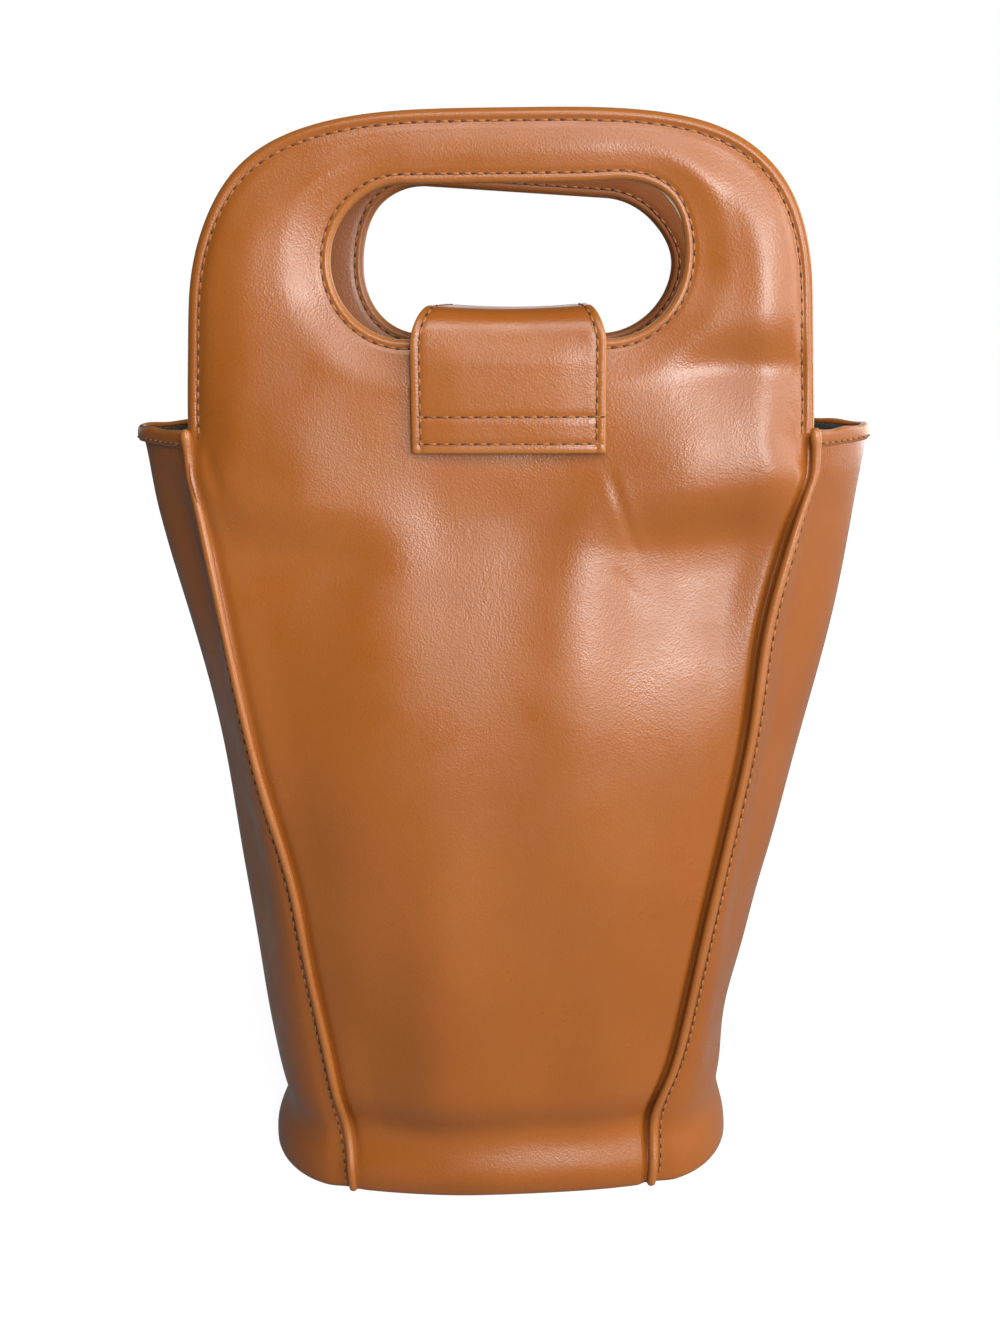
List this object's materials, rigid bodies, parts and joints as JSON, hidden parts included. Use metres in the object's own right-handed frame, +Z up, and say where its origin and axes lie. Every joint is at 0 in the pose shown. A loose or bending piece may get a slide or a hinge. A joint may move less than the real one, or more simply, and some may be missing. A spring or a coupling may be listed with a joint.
{
  "type": "wine bottle bag",
  "caption": "Tapering leather wine bag with folded side gussets, cut-out handles and a closing tab on a magnetic snap, for carrying bottles upright.",
  "frame": {"origin": "middle of the underside of the base", "axes": "+Z up, front of the bag and its flap towards -Y, +X to the right seen from the front"},
  "size_m": [0.2712, 0.101, 0.4],
  "materials": {
    "tan_leather": "smooth tan leather, half gloss, fine grain",
    "inner_leather": "smooth tan leather, half matt",
    "pile_lining": "short dark pile",
    "fibre_board": "plain fibre board",
    "nickel": "nickel plate"
  },
  "bodies": {
    "body": {"base_leather": "tan_leather", "base_board": "fibre_board", "base_lining": "pile_lining", "front_panel": "tan_leather", "back_panel": "tan_leather", "left_gusset": "tan_leather", "right_gusset": "tan_leather", "front_lining": "pile_lining", "back_lining": "pile_lining", "left_lining": "pile_lining", "right_lining": "pile_lining", "front_left_welt": "tan_leather", "front_right_welt": "tan_leather", "back_left_welt": "tan_leather", "back_right_welt": "tan_leather", "left_hem": "tan_leather", "right_hem": "tan_leather"},
    "front_handle": {"front_handle": "tan_leather", "front_handle_facing": "inner_leather", "front_handle_board": "fibre_board", "snap_socket": "nickel", "snap_socket_washer": "nickel"},
    "back_handle": {"back_handle": "tan_leather", "back_handle_facing": "inner_leather", "back_handle_board": "fibre_board", "tab_anchor": "tan_leather"},
    "tab_strap": {"tab_bridge": "tan_leather"},
    "tab_flap": {"tab_flap": "tan_leather", "tab_flap_lining": "inner_leather", "tab_flap_board": "fibre_board", "snap_stud": "nickel", "snap_stud_washer": "nickel"}
  },
  "joints": [
    {"name": "front_handle_squeeze", "type": "hinge", "parent": "body", "child": "front_handle", "pos_m": [0, -0.0302, 0.293], "axis": [-1, 0, 0], "range_deg": [0, 16], "stiffness_Nm_per_rad": 1},
    {"name": "back_handle_squeeze", "type": "hinge", "parent": "body", "child": "back_handle", "pos_m": [0, 0.0302, 0.293], "axis": [1, 0, 0], "range_deg": [0, 16], "stiffness_Nm_per_rad": 1},
    {"name": "tab_strap_level", "type": "hinge", "parent": "back_handle", "child": "tab_strap", "pos_m": [0, 0.0269, 0.3365], "axis": [-1, 0, 0], "range_deg": [0, 16]},
    {"name": "tab_flap_lift", "type": "hinge", "parent": "tab_strap", "child": "tab_flap", "pos_m": [0, -0.0309, 0.3365], "axis": [-1, 0, 0], "range_deg": [0, 150]}
  ],
  "couplings": [
    {"joint": "tab_strap_level", "follows": "back_handle_squeeze", "ratio": 1}
  ]
}
